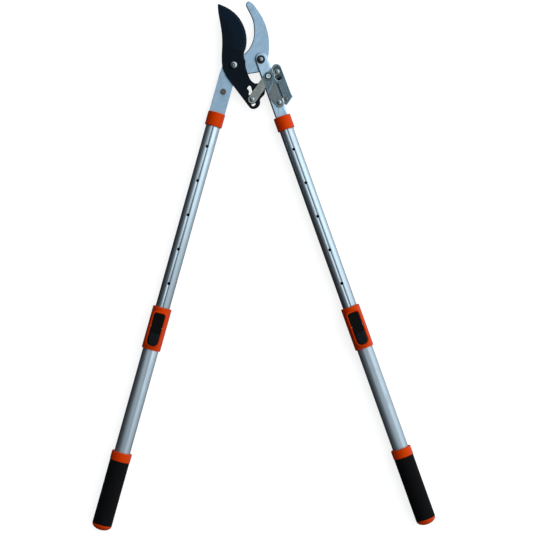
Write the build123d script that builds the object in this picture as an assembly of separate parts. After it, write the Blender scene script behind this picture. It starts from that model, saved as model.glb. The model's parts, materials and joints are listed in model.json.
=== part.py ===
from build123d import *

import os
from math import atan2, cos, degrees, radians, sin

# A telescoping ratchet bypass lopper, lying flat with its jaw open.
#
# Frame, in millimetres: X across the handles, Y from the grips towards the
# blade, Z up through the thickness. The head is drawn about the main pivot and
# each handle about its own axis, then both are moved to their places.

# ---- layout -----------------------------------------------------------------
HEAD_X, HEAD_Y = -56.2, 376.2            # head's origin, from the middle of the tool
AXIS_Z = 19.2                            # height of both tube axes and the shear plane
LEFT_TILT, RIGHT_TILT = -15.6, 19.7      # handle angles from Y, in degrees
LEFT_AXIS_X = -6.4                       # left handle axis, level with the head's origin
RIGHT_AXIS_X, RIGHT_AXIS_Y = 51.4, 10.5  # a point of the right handle axis
LEFT_COLLAR, RIGHT_COLLAR = 93.6, 114.1  # from those points down to the collars

# ---- head, from its origin -----------------------------------------------------
MAIN_PIVOT = (0.0, -1.2)
ARM_PIVOT = (50.5, 9.3)
LINK_PIVOT = (64.7, -22.9)
SPRING_PIN = (81.5, -13.9)
ANCHOR = (98.6, -65.4)
PLATE_BOLT = (85.1, -71.2)
RATCHET_PIN = (34.6, -65.6)
STUD = (-19.6, -50.5)

PLAY = 0.1                 # gap between faces that slide over each other
RUNNING = 0.05             # radial clearance of a shaft that turns
LOOSE = 0.2                # radial clearance of a bolt in a plain hole
FIT = 0.02                 # radial clearance of pieces that are fixed together

HOOK_T = 5.0
BLADE_T = 4.5
LINK_T = 2.9
SPACER_T = 3.3
RATCHET_PLATE_T = 2.0
TANG_W_LEFT = 30.0
TANG_W_RIGHT = 24.0
TANG_INSIDE_W = 22.0       # inside the tubes
LINK_HALF_W = 8.0
CRANK_HALF_W = 5.6

PIVOT_R = 5.0
ARM_BOLT_R = 4.0
LINK_BOLT_R = 4.0
SMALL_BOLT_R = 2.5
RATCHET_PIN_R = 2.25
STUD_R = 5.2

# heights of the stack, from the shear plane
BLADE_BOTTOM = PLAY
BLADE_TOP = BLADE_BOTTOM + BLADE_T
SPACER_TOP = BLADE_TOP + SPACER_T
PLATE_TOP = SPACER_TOP + RATCHET_PLATE_T
LINK_TOP = SPACER_TOP - 2 * PLAY
LINK_BOTTOM = LINK_TOP - LINK_T
SPACER_LOW = BLADE_BOTTOM - SPACER_T
PLATE_LOW = SPACER_LOW - RATCHET_PLATE_T
REAR_LINK_LOW = SPACER_LOW + 2 * PLAY
REAR_LINK_TOP = REAR_LINK_LOW + LINK_T

# worked edges: width on the face, depth down the side
GROUND_W, GROUND_DEPTH = 4.5, 2.4        # the blade's ground bevel
HOLLOW_DEPTH = 0.3                       # the wide hollow-ground face above it
HOOK_EDGE_W, HOOK_EDGE_DEPTH = 1.6, 1.2  # inside of the hook
CHIN_EDGE = 1.1                          # under the hook
ARM_EDGE_W, ARM_EDGE_DEPTH = 2.4, 2.0    # round the arm
PLATE_EDGE = 0.7                         # the ratchet plates' front rims

# bolt heads and nuts
HEAD_RIM = 1.0                           # straight side of a domed head, under its dome
PIVOT_HEAD_R, PIVOT_HEAD_H, PIVOT_KEY = 7.8, 6.0, 6.0
PIVOT_WASHER_R, WASHER_T = 10.0, 1.5
PIVOT_NUT_H, PIVOT_NUT_W = 10.0, 16.0
ARM_HEAD_R, ARM_HEAD_H, ARM_KEY = 4.9, 4.6, 3.4
ARM_WASHER_R, ARM_WASHER_T = 8.0, 1.2
ARM_NUT_H, ARM_NUT_W = 8.0, 13.0
LINK_FLANGE_R, LINK_FLANGE_T = 8.6, 1.2
LINK_HEAD_W, LINK_HEAD_H, LINK_HEAD_DISH = 8.4, 4.0, 2.6
LINK_GROOVE_IN, LINK_GROOVE_OUT, LINK_GROOVE_FLOOR = 4.9, 6.5, 0.3
LINK_DISH_DEPTH = 0.8
LINK_NUT_H = 5.0
SMALL_HEAD_R, SMALL_HEAD_H, SMALL_KEY = 4.6, 2.6, 3.0
ANCHOR_HEAD_R, ANCHOR_HEAD_H = 3.7, 1.6
PLATE_NUT_H, PLATE_NUT_W = 4.0, 8.0
BOLT_TIP = 1.0                           # how far a bolt's thread stands out of its nut
RIVET_R, RIVET_H = 4.2, 1.4              # the flat heads at the back of the small pins
POST_R = 3.6                             # the spring anchor, between the plates

# toothed slot in the blade's tail
SLOT_TOP = (30.3, -42.3)
SLOT_TILT = 14.7
SLOT_LENGTH = 32.4
SLOT_LEFT, SLOT_RIGHT = 3.6, 2.1
NOTCH_FIRST, NOTCH_PITCH = 1.4, 10.6
NOTCH_R = 2.9
NOTCH_INSET = 2.6

# kidney window round the spring pin, as angles about the link pivot
KIDNEY_R = 19.1
KIDNEY_HALF_W = 6.9
KIDNEY_FROM, KIDNEY_TO = -1.0, 37.0

SPRING_WIRE_R = 0.6
SPRING_COIL_R = 3.5
SPRING_PITCH = 1.65
SPRING_END_GAP = 9.5

# ---- handles, measured down the axis from the top of the collar ----------------
COLLAR_R, COLLAR_L, COLLAR_CAP, COLLAR_ROUND = 16.3, 26.2, 6.0, 1.2
INNER_R, INNER_WALL = 13.5, 1.4
INNER_END = 455.0
OUTER_R, OUTER_WALL = 15.0, 1.2
HOUSING_TOP, HOUSING_END = 378.0, 459.6
HOUSING_R, HOUSING_ROUND = 17.8, 1.6
HOUSING_LIP, HOUSING_BORE_GAP = 4.0, 0.3 # its mouth, round the inner tube
SCREW_AT, SCREW_R, SCREW_HEAD_R, SCREW_HEAD_H = HOUSING_END - 10.0, 2.0, 3.8, 2.0
SCREW_TIP = 14.0                         # how near the axis the screw ends
HOLE_FIRST, HOLE_PITCH, HOLE_COUNT, HOLE_R = 66.0, 66.4, 6, 2.7
GROOVE_R, GROOVE_DEPTH = 2.6, 0.75
TANG_END = 58.0
CORE_END = 60.0
TANG_PIN_AT, TANG_PIN_R = 16.0, 2.5
BUSH_PLUG, BUSH_FLANGE = 15.0, 3.0
BUSH_CLEARANCE, BUSH_BORE_R = 0.08, 8.0
RING_TOP, GRIP_TOP, GRIP_END, CAP_END = 659.0, 676.0, 798.5, 810.0
RING_R, RING_ROUND, GRIP_R = 19.2, 1.5, 18.6
CAP_PLUG = 8.0

# lock on the front of the housing
LOCK_AT = HOLE_FIRST + HOLE_PITCH * (HOLE_COUNT - 1)
AXLE_AT, AXLE_Z, AXLE_R = LOCK_AT + 17.3, 18.9, 1.25
AXLE_HALF_L, AXLE_BOSS_R = 12.6, 2.6
LEVER_TOP, LEVER_END, LEVER_HALF_W = LOCK_AT - 8.4, LOCK_AT + 53.2, 10.0
LEVER_TOP_R, LEVER_END_R = 3.6, 8.6
LEVER_LOW, LEVER_HIGH, PAD_Z = 18.0, 22.0, 24.2
RECESS_TOP = LEVER_HIGH - 1.0   # roof of the spring's recess and of the lock pin's socket
PAD_TOP, PAD_MARGIN = AXLE_AT + 9.0, 1.8
LEVER_ROUND, PAD_ROUND, BEZEL_ROUND = 1.0, 1.4, 1.6
POCKET_GAP = 0.7
POCKET_FLOOR = 15.4
BEZEL_MARGIN, BEZEL_LOW, BEZEL_Z = 3.6, 8.0, 20.6
LOCK_PIN_R, LOCK_PIN_TIP = 2.2, INNER_R + 0.35
LOCK_PIN_LEAD = 0.3        # the pin stands this far up its hole until it tips in
LOCK_HOLE_R = LOCK_PIN_R + 1.0
LOCK_SPRING_AT = LOCK_AT + 42.0
LOCK_SPRING_R, LOCK_SPRING_PITCH, LOCK_WIRE_R = 3.0, 1.25, 0.3


# ---- helpers ------------------------------------------------------------------
def outline(*edges):
    """A flat face from edges that follow each other round."""
    return make_face(Wire(list(edges)))


def slab(face, low, high):
    """The face, raised into a plate between two heights."""
    return extrude(Pos(0, 0, low) * face, amount=high - low)


def cylinder(x, y, low, high, radius):
    return Pos(x, y, low) * extrude(Circle(radius), amount=high - low)


def bar_face(start, end, half_w):
    """A round-ended bar between two points."""
    middle = ((start[0] + end[0]) / 2, (start[1] + end[1]) / 2)
    dx, dy = end[0] - start[0], end[1] - start[1]
    angle = degrees(atan2(dy, dx))
    length = (dx * dx + dy * dy) ** 0.5
    bar = Rectangle(length, 2 * half_w) + Pos(-length / 2, 0) * Circle(half_w)
    bar += Pos(length / 2, 0) * Circle(half_w)
    return Pos(*middle) * Rot(0, 0, angle) * bar


def hex_prism(x, y, low, high, across_flats, turn=0.0):
    circumradius = across_flats / 2 / cos(radians(30))
    prism = extrude(RegularPolygon(circumradius, 6), amount=high - low)
    return Pos(x, y, low) * Rot(0, 0, turn) * prism


def domed_head(x, y, low, radius, height, key):
    """A button head: a short straight rim under a dome, with a hexagon socket."""
    rise = height - HEAD_RIM
    ball_r = (radius * radius + rise * rise) / (2 * rise)
    ball = Pos(x, y, low + height - ball_r) * Sphere(ball_r)
    head = cylinder(x, y, low, low + height, radius) & ball
    return head - hex_prism(x, y, low + 0.4 * height, low + height + 1, key, 10)


def bevel_rim(solid, lines, width, depth):
    """Bevels the top face's rims that follow the lines: width on the face, depth down the side."""
    top = solid.faces().sort_by(Axis.Z)[-1]
    height = top.center().Z
    rims = []
    for rim in top.edges():
        middle = rim @ 0.5
        if any((Pos(0, 0, height) * line).distance_to(middle) < 0.05 for line in lines):
            rims.append(rim)
    return chamfer(rims, width, depth, reference=top)


def chamfered_nut(x, y, low, high, across_flats, hole, turn=0.0):
    """A hexagon nut whose corners are turned off at its outer end, which is low."""
    nut = hex_prism(x, y, low, high, across_flats, turn)
    cone_r = across_flats / 2 + (high - low) / 0.6
    cone = Pos(x, y, (low + high) / 2) * Cone(across_flats / 2, cone_r, high - low)
    return (nut & cone) - cylinder(x, y, low - 1, high + 1, hole)


def in_head(shape):
    return Pos(HEAD_X, HEAD_Y, AXIS_Z) * shape


def handle_place(side):
    """Moves a handle piece, drawn hanging down from the collar, to its side."""
    if side == "left":
        x, y, tilt, run = LEFT_AXIS_X, 0.0, LEFT_TILT, LEFT_COLLAR
    else:
        x, y, tilt, run = RIGHT_AXIS_X, RIGHT_AXIS_Y, RIGHT_TILT, RIGHT_COLLAR
    x += run * sin(radians(tilt))
    y -= run * cos(radians(tilt))
    return Pos(HEAD_X + x, HEAD_Y + y, AXIS_Z) * Rot(0, 0, tilt)


def turned(top, end, radius):
    """A solid round the handle axis, from top to end."""
    return Pos(0, -end, 0) * Rot(-90, 0, 0) * extrude(Circle(radius), amount=end - top)


# ---- head plates -----------------------------------------------------------------
def from_handle(side, shape):
    """A shape drawn in a handle's frame, in the head's frame."""
    return Pos(-HEAD_X, -HEAD_Y, -AXIS_Z) * handle_place(side) * shape


def tang_strip(side, top, end, half_w, low, high):
    """A strip of a tang in the head's frame, along its handle's axis."""
    strip = Pos(0, -(top + end) / 2, (low + high) / 2) * Box(2 * half_w, end - top, high - low)
    return from_handle(side, strip)


def hook_plate():
    hollow = Spline([(27.6, 118.9), (22.6, 112.6), (24.7, 106.8), (30.4, 95.6), (36.0, 81.5),
                     (37.9, 65.0), (37.2, 50.7), (33.7, 39.5), (27.3, 28.2), (19.0, 20.0)])
    throat = ThreePointArc((-0.7, -35.0), (8.5, -21.5), (27.5, -16.8))
    chin = Line((27.5, -16.8), (47.3, -13.7))
    heel = ThreePointArc((47.3, -13.7), (57.5, -4.0), (63.4, 10.0))
    jaw = outline(
        hollow,
        ThreePointArc((19.0, 20.0), (0.0, 20.6), (-17.6, 9.0)),
        Line((-17.6, 9.0), (-26.6, -16.8)),
        Line((-26.6, -16.8), (-0.7, -35.0)),
        throat,
        chin,
        heel,
        Line((63.4, 10.0), (65.9, 22.6)),
        Spline([(65.9, 22.6), (66.2, 40.0), (64.6, 56.3), (60.1, 73.1), (52.7, 89.9),
                (41.6, 106.8), (33.0, 116.4), (27.6, 118.9)]),
    )
    plate = bevel_rim(slab(jaw, -HOOK_T, 0), (hollow,), HOOK_EDGE_W, HOOK_EDGE_DEPTH)
    plate = bevel_rim(plate, (throat, chin, heel), CHIN_EDGE, CHIN_EDGE)
    lower = tang_strip("left", -72.0, COLLAR_CAP - 2, TANG_W_LEFT / 2, -HOOK_T, 0)
    inside = tang_strip("left", COLLAR_CAP - 2, TANG_END, TANG_INSIDE_W / 2, -HOOK_T, 0)
    plate = plate + lower + inside
    plate -= cylinder(*MAIN_PIVOT, -HOOK_T - 1, 1, PIVOT_R + LOOSE)
    plate -= cylinder(*ARM_PIVOT, -HOOK_T - 1, 1, ARM_BOLT_R + LOOSE)
    plate -= cylinder(*STUD, -HOOK_T - 1, 1, STUD_R / 2)
    return plate - tang_pin_hole("left")


def tang_pin_hole(side):
    return from_handle(side, Pos(0, -TANG_PIN_AT, 0) * Cylinder(TANG_PIN_R + PLAY, 4 * HOOK_T))


def slot_face():
    """The toothed slot: a channel with round notches along its left side."""
    width = SLOT_LEFT + SLOT_RIGHT
    shift = (SLOT_RIGHT - SLOT_LEFT) / 2
    slot = Pos(shift, -SLOT_LENGTH / 2) * Rectangle(width, SLOT_LENGTH)
    slot += Pos(shift, 0) * Circle(width / 2)
    slot += Pos(shift, -SLOT_LENGTH) * Circle(width / 2)
    for index in range(4):
        slot += Pos(-NOTCH_INSET, -NOTCH_FIRST - index * NOTCH_PITCH) * Circle(NOTCH_R)
    return Pos(*SLOT_TOP) * Rot(0, 0, SLOT_TILT) * slot


def hollow_ground():
    """The outline of the blade's wide ground face, out past its cutting edge."""
    return outline(
        Spline([(-36.0, 105.0), (-24.4, 91.5), (-11.2, 74.8), (-1.5, 54.0), (-0.8, 31.6)]),
        Line((-0.8, 31.6), (26.0, 20.4)),
        Line((26.0, 20.4), (40.0, 60.0)),
        Line((40.0, 60.0), (0.0, 125.0)),
        Line((0.0, 125.0), (-36.0, 125.0)),
        Line((-36.0, 125.0), (-36.0, 105.0)),
    )


def cutting_blade():
    edge = Spline([(-26.0, 112.6), (-12.7, 106.8), (3.0, 95.6), (15.7, 78.7), (22.6, 60.0),
                   (24.2, 45.1), (21.8, 28.2)])
    shape = outline(
        edge,
        ThreePointArc((21.8, 28.2), (18.9, 17.0), (21.9, 6.7)),
        Spline([(21.9, 6.7), (22.4, -4.3), (26.2, -16.8), (33.0, -30.4), (41.1, -35.7)]),
        Spline([(41.1, -35.7), (49.0, -36.0), (56.0, -41.5), (58.6, -49.6), (56.8, -56.8)]),
        Line((56.8, -56.8), (50.2, -63.6)),
        ThreePointArc((50.2, -63.6), (49.3, -66.4), (49.7, -70.7)),
        ThreePointArc((49.7, -70.7), (46.0, -79.0), (36.1, -83.2)),
        ThreePointArc((36.1, -83.2), (31.8, -81.8), (28.4, -78.4)),
        Line((28.4, -78.4), (-8.4, -29.7)),
        Spline([(-8.4, -29.7), (-15.9, -18.0), (-21.2, -5.5)]),
        Spline([(-21.2, -5.5), (-22.5, 11.4), (-21.6, 39.5), (-23.6, 67.5), (-29.3, 101.2),
                (-29.9, 110.6)]),
        ThreePointArc((-29.9, 110.6), (-28.9, 112.6), (-26.0, 112.6)),
    )
    ground = BLADE_TOP - HOLLOW_DEPTH
    blade = bevel_rim(slab(shape, BLADE_BOTTOM, ground), (edge,), GROUND_W, GROUND_DEPTH)
    blade += slab(shape, ground, BLADE_TOP) - slab(hollow_ground(), ground, BLADE_TOP)
    blade -= cylinder(*MAIN_PIVOT, 0, BLADE_TOP + 1, PIVOT_R + RUNNING)
    return blade - slab(slot_face(), 0, BLADE_TOP + 1)


def arm_tang():
    half_w = TANG_W_RIGHT / 2
    round_end = Pos(RIGHT_AXIS_X, RIGHT_AXIS_Y) * Circle(half_w)
    plate = slab(round_end, BLADE_BOTTOM, BLADE_TOP)
    plate += tang_strip("right", -RIGHT_COLLAR, COLLAR_CAP - 2, half_w, BLADE_BOTTOM, BLADE_TOP)
    side_line = from_handle("right", Line((-half_w, 0), (-half_w, RIGHT_COLLAR)))
    plate = bevel_rim(plate, (side_line,), ARM_EDGE_W, ARM_EDGE_DEPTH)
    plate += tang_strip("right", COLLAR_CAP - 2, TANG_END, TANG_INSIDE_W / 2, BLADE_BOTTOM, BLADE_TOP)
    plate -= cylinder(*ARM_PIVOT, 0, BLADE_TOP + 1, ARM_BOLT_R + RUNNING)
    plate -= cylinder(*LINK_PIVOT, 0, BLADE_TOP + 1, LINK_BOLT_R + LOOSE)
    plate -= cylinder(*PLATE_BOLT, 0, BLADE_TOP + 1, SMALL_BOLT_R + LOOSE)
    return plate - tang_pin_hole("right")


def drive_link(low, high):
    """A bell crank: the long arm holds the ratchet pin, the short arm the spring pin."""
    face = bar_face(LINK_PIVOT, RATCHET_PIN, LINK_HALF_W)
    face += bar_face(LINK_PIVOT, SPRING_PIN, CRANK_HALF_W)
    link = slab(face, low, high)
    link -= cylinder(*LINK_PIVOT, low - 1, high + 1, LINK_BOLT_R + RUNNING)
    link -= cylinder(*RATCHET_PIN, low - 1, high + 1, RATCHET_PIN_R)
    return link - cylinder(*SPRING_PIN, low - 1, high + 1, SMALL_BOLT_R)


def kidney_face():
    """A ring segment about the link pivot, as wide as the boss needs, with round ends."""
    start, end = radians(KIDNEY_FROM), radians(KIDNEY_TO)
    middle = (start + end) / 2
    inner, outer = KIDNEY_R - KIDNEY_HALF_W, KIDNEY_R + KIDNEY_HALF_W

    def at(radius, angle):
        return LINK_PIVOT[0] + radius * cos(angle), LINK_PIVOT[1] + radius * sin(angle)

    band = outline(
        ThreePointArc(at(outer, start), at(outer, middle), at(outer, end)),
        Line(at(outer, end), at(inner, end)),
        ThreePointArc(at(inner, end), at(inner, middle), at(inner, start)),
        Line(at(inner, start), at(outer, start)),
    )
    for angle in (start, end):
        band += Pos(*at(KIDNEY_R, angle)) * Circle(KIDNEY_HALF_W)
    return band


def ratchet_plate(low, high, between):
    """A plate round the link pivot and the spring anchor; between closes its lower side."""
    face = outline(
        Line((55.2, -25.6), (71.2, -7.5)),
        ThreePointArc((71.2, -7.5), (81.2, 0.4), (88.3, -4.6)),
        Line((88.3, -4.6), (107.7, -55.6)),
        Line((107.7, -55.6), (110.4, -60.4)),
        Line((110.4, -60.4), (100.8, -73.4)),
        ThreePointArc((100.8, -73.4), (96.6, -74.2), (94.0, -71.0)),
        *between,
        Line((64.0, -56.4), (55.2, -25.6)),
    )
    return slab(face, low, high)


def bolt_holes(plate, low, high):
    plate -= cylinder(*LINK_PIVOT, low - 1, high + 1, LINK_BOLT_R + LOOSE)
    return plate - cylinder(*ANCHOR, low - 1, high + 1, SMALL_BOLT_R + LOOSE)


def ratchet_plate_front():
    """Two legs with a V between them, and the spring pin's window."""
    legs = (
        Line((94.0, -71.0), (93.0, -62.8)),
        Line((93.0, -62.8), (84.6, -41.0)),
        ThreePointArc((84.6, -41.0), (78.6, -35.4), (72.4, -38.6)),
        Line((72.4, -38.6), (64.0, -56.4)),
    )
    plate = ratchet_plate(SPACER_TOP, PLATE_TOP, legs)
    plate = bevel_rim(plate, legs, PLATE_EDGE, PLATE_EDGE)
    plate -= slab(kidney_face(), SPACER_TOP, PLATE_TOP)
    window = plate.faces().sort_by(Axis.Z)[-1].inner_wires()[0]
    plate = chamfer(window.edges(), PLATE_EDGE)
    return bolt_holes(plate, SPACER_TOP, PLATE_TOP)


def ratchet_plate_rear():
    """The closed back plate."""
    lower_side = (Line((94.0, -71.0), (93.0, -62.8)), Line((93.0, -62.8), (64.0, -56.4)))
    plate = ratchet_plate(PLATE_LOW, SPACER_LOW, lower_side)
    return bolt_holes(plate, PLATE_LOW, SPACER_LOW)


def spacer_plate(low, high):
    """The inner plate, seen between the outer plate's legs; its slant stops the link."""
    face = outline(
        Line((75.6, -33.5), (65.4, -56.2)),
        Line((65.4, -56.2), (66.6, -62.8)),
        Line((66.6, -62.8), (78.9, -77.2)),
        ThreePointArc((78.9, -77.2), (83.6, -80.0), (88.8, -78.8)),
        Line((88.8, -78.8), (93.6, -76.4)),
        Line((93.6, -76.4), (91.0, -66.0)),
        Line((91.0, -66.0), (80.4, -37.5)),
        Line((80.4, -37.5), (75.6, -33.5)),
    )
    face -= Pos(*PLATE_BOLT) * Circle(SMALL_BOLT_R + LOOSE)
    return slab(face, low, high)


# ---- head fasteners ----------------------------------------------------------------
def pivot_bolt():
    top = BLADE_TOP + PLAY
    head = domed_head(*MAIN_PIVOT, top, PIVOT_HEAD_R, PIVOT_HEAD_H, PIVOT_KEY)
    return head + cylinder(*MAIN_PIVOT, -AXIS_Z, top, PIVOT_R)


def pivot_nut():
    high = -HOOK_T - WASHER_T
    return chamfered_nut(*MAIN_PIVOT, high - PIVOT_NUT_H, high, PIVOT_NUT_W, PIVOT_R + FIT, 12)


def pivot_washer():
    washer = cylinder(*MAIN_PIVOT, -HOOK_T - WASHER_T, -HOOK_T, PIVOT_WASHER_R)
    return washer - cylinder(*MAIN_PIVOT, -HOOK_T - 2, 0, PIVOT_R + LOOSE)


def stop_stud():
    """A shouldered stud that ends the blade's closing stroke."""
    head = Pos(*STUD, 0) * extrude(Circle(STUD_R), amount=BLADE_TOP + 0.6)
    head = fillet(head.edges().filter_by(GeomType.CIRCLE).sort_by(Axis.Z)[-1], 1.0)
    return head + cylinder(*STUD, -HOOK_T - 0.8, 0, STUD_R / 2 - FIT)


def arm_bolt():
    top = BLADE_TOP + PLAY + ARM_WASHER_T
    head = domed_head(*ARM_PIVOT, top, ARM_HEAD_R, ARM_HEAD_H, ARM_KEY)
    return head + cylinder(*ARM_PIVOT, -HOOK_T - ARM_NUT_H - BOLT_TIP, top, ARM_BOLT_R)


def arm_washer():
    low = BLADE_TOP + PLAY
    washer = cylinder(*ARM_PIVOT, low, low + ARM_WASHER_T, ARM_WASHER_R)
    return washer - cylinder(*ARM_PIVOT, BLADE_TOP, BLADE_TOP + 2, ARM_BOLT_R + FIT)


def arm_nut():
    return chamfered_nut(*ARM_PIVOT, -HOOK_T - ARM_NUT_H, -HOOK_T, ARM_NUT_W, ARM_BOLT_R + FIT)


def ratchet_pin():
    """A shouldered rivet through both links and the slot."""
    body = cylinder(*RATCHET_PIN, REAR_LINK_LOW - RIVET_H, LINK_TOP + 0.4, RATCHET_PIN_R - 0.01)
    front = domed_head(*RATCHET_PIN, LINK_TOP, SMALL_HEAD_R, SMALL_HEAD_H, SMALL_KEY)
    rear = cylinder(*RATCHET_PIN, REAR_LINK_LOW - RIVET_H, REAR_LINK_LOW, RIVET_R)
    return body + front + rear


def link_pivot_bolt():
    """A flanged hexagon bolt with a groove round the head and a dished top."""
    seat = PLATE_TOP + LINK_FLANGE_T
    top = seat + LINK_HEAD_H
    bolt = cylinder(*LINK_PIVOT, PLATE_TOP, seat, LINK_FLANGE_R)
    bolt -= cylinder(*LINK_PIVOT, PLATE_TOP + LINK_GROOVE_FLOOR, seat + 1, LINK_GROOVE_OUT)
    bolt += cylinder(*LINK_PIVOT, PLATE_TOP, seat, LINK_GROOVE_IN)
    bolt += hex_prism(*LINK_PIVOT, seat, top, LINK_HEAD_W, 8)
    bolt -= cylinder(*LINK_PIVOT, top - LINK_DISH_DEPTH, top + 1, LINK_HEAD_DISH)
    return bolt + cylinder(*LINK_PIVOT, PLATE_LOW - LINK_NUT_H - BOLT_TIP, PLATE_TOP, LINK_BOLT_R)


def link_pivot_nut():
    low = PLATE_LOW - LINK_NUT_H
    return chamfered_nut(*LINK_PIVOT, low, PLATE_LOW, ARM_NUT_W, LINK_BOLT_R + FIT, 8)


def spring_pin():
    """A pin through the links' short arms, with its head in the window."""
    pin = cylinder(*SPRING_PIN, REAR_LINK_LOW, LINK_TOP, SMALL_BOLT_R - 0.01)
    return pin + domed_head(*SPRING_PIN, LINK_TOP, SMALL_HEAD_R, SMALL_HEAD_H, SMALL_KEY)


def spring_anchor():
    """A spacer post between the ratchet plates, screwed from both sides."""
    post = cylinder(*ANCHOR, SPACER_LOW, SPACER_TOP, POST_R)
    post += cylinder(*ANCHOR, PLATE_LOW, PLATE_TOP, SMALL_BOLT_R)
    post += cylinder(*ANCHOR, PLATE_LOW - RIVET_H, PLATE_LOW, RIVET_R)
    post += domed_head(*ANCHOR, PLATE_TOP, ANCHOR_HEAD_R, ANCHOR_HEAD_H, SMALL_KEY - 0.6)
    middle = (BLADE_TOP + BLADE_BOTTOM) / 2
    return post - Pos(*ANCHOR, middle) * (Cylinder(4, 2.6) - Cylinder(SMALL_BOLT_R, 3))


def plate_bolt():
    head = domed_head(*PLATE_BOLT, SPACER_TOP, SMALL_HEAD_R, SMALL_HEAD_H, SMALL_KEY)
    return head + cylinder(*PLATE_BOLT, SPACER_LOW - PLATE_NUT_H - BOLT_TIP, SPACER_TOP, SMALL_BOLT_R)


def plate_nut():
    low = SPACER_LOW - PLATE_NUT_H
    return chamfered_nut(*PLATE_BOLT, low, SPACER_LOW, PLATE_NUT_W, SMALL_BOLT_R + FIT)


def ratchet_spring():
    """A tension spring from the anchor post up to the spring pin, with an eye at each end."""
    dx, dy = SPRING_PIN[0] - ANCHOR[0], SPRING_PIN[1] - ANCHOR[1]
    span = (dx * dx + dy * dy) ** 0.5
    turns = round((span - 2 * SPRING_END_GAP) / SPRING_PITCH)
    length = turns * SPRING_PITCH
    start = (span - length) / 2
    path = Helix(SPRING_PITCH, length, SPRING_COIL_R)
    section = Plane(path @ 0, z_dir=path % 0) * Circle(SPRING_WIRE_R)
    spring = Pos(0, 0, start) * sweep(section, path=path, is_frenet=True)
    eye = Rot(0, 90, 0) * Torus(SMALL_BOLT_R + SPRING_WIRE_R + 0.15, SPRING_WIRE_R)
    reach = SMALL_BOLT_R + SPRING_WIRE_R + 0.15
    stub = extrude(Circle(SPRING_WIRE_R), amount=start - reach)
    arm = Rot(0, 90, 0) * extrude(Circle(SPRING_WIRE_R), amount=SPRING_COIL_R)
    spring += eye + Pos(0, 0, span) * eye
    spring += Pos(0, 0, reach) * stub + Pos(0, 0, span - start) * stub
    spring += Pos(0, 0, start) * arm + Pos(0, 0, span - start) * arm
    middle = (BLADE_TOP + BLADE_BOTTOM) / 2
    upright = Plane(origin=(*ANCHOR, middle), x_dir=(0, 0, 1), z_dir=(dx, dy, 0))
    return upright * spring


# ---- handles -------------------------------------------------------------------------
def tang_slot(side, top, end):
    """The space a tang takes inside its collar and core, with a little play."""
    if side == "left":
        low, high = -HOOK_T, 0.0
        wide = TANG_W_LEFT
    else:
        low, high = BLADE_BOTTOM, BLADE_TOP
        wide = TANG_W_RIGHT
    if top >= COLLAR_CAP:
        wide = TANG_INSIDE_W
    size = (wide + 2 * PLAY, end - top, high - low + 2 * PLAY)
    return Pos(0, -(top + end) / 2, (low + high) / 2) * Box(*size)


def collar(side):
    body = turned(0, COLLAR_L, COLLAR_R)
    body = fillet(body.edges().filter_by(GeomType.CIRCLE), COLLAR_ROUND)
    body -= turned(COLLAR_CAP, COLLAR_L + 1, INNER_R + FIT)
    return body - tang_slot(side, -1, COLLAR_CAP - 0.5) - tang_slot(side, COLLAR_CAP - 1, COLLAR_CAP)


def tang_core(side):
    core = turned(COLLAR_CAP + 1, CORE_END, INNER_R - INNER_WALL - FIT)
    core -= tang_slot(side, COLLAR_CAP, TANG_END + 0.5)
    return core - Pos(0, -TANG_PIN_AT, 0) * Cylinder(TANG_PIN_R + FIT, 3 * INNER_R)


def tang_pin(side):
    pin = Pos(0, -TANG_PIN_AT, 0) * Cylinder(TANG_PIN_R, 3 * INNER_R)
    return pin & turned(0, COLLAR_L, INNER_R - 0.1)


def inner_tube(side):
    tube = turned(COLLAR_CAP, INNER_END, INNER_R) - turned(0, INNER_END + 1, INNER_R - INNER_WALL)
    groove = turned(COLLAR_L, INNER_END + 1, GROOVE_R)
    tube -= Pos(0, 0, INNER_R + GROOVE_R - GROOVE_DEPTH) * groove
    for index in range(HOLE_COUNT):
        at = HOLE_FIRST + index * HOLE_PITCH
        tube -= Pos(0, -at, 0) * extrude(Circle(HOLE_R), amount=2 * INNER_R)
    return tube - Pos(0, -TANG_PIN_AT, 0) * Cylinder(TANG_PIN_R + FIT, 3 * INNER_R)


def guide_bush(side):
    """A plug in the inner tube's end; its flange guides it inside the outer tube."""
    plug = turned(INNER_END - BUSH_PLUG, INNER_END, INNER_R - INNER_WALL - FIT)
    plug += turned(INNER_END, INNER_END + BUSH_FLANGE, OUTER_R - OUTER_WALL - BUSH_CLEARANCE)
    return plug - turned(INNER_END - BUSH_PLUG - 1, INNER_END + BUSH_FLANGE + 1, BUSH_BORE_R)


def outer_tube(side):
    top = HOUSING_TOP + HOUSING_LIP
    tube = turned(top, GRIP_END, OUTER_R) - turned(top - 1, GRIP_END + 1, OUTER_R - OUTER_WALL)
    tube -= Pos(0, -LOCK_AT, 0) * extrude(Circle(LOCK_HOLE_R), amount=2 * OUTER_R)
    return tube - screw_body(FIT)


def lever_block(margin, low, high, top=LEVER_TOP, end=LEVER_END):
    """A block on the front, squarer at its top than at its end, grown by a margin."""
    half_w = LEVER_HALF_W + margin
    length = end - top + 2 * margin
    face = Rectangle(2 * half_w, length)
    face = fillet(face.vertices().group_by(Axis.Y)[-1], LEVER_TOP_R + max(margin, 0))
    face = fillet(face.vertices().group_by(Axis.Y)[0], min(LEVER_END_R + margin, half_w - 0.6))
    return Pos(0, -(top + end) / 2, low) * extrude(face, amount=high - low)


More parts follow.
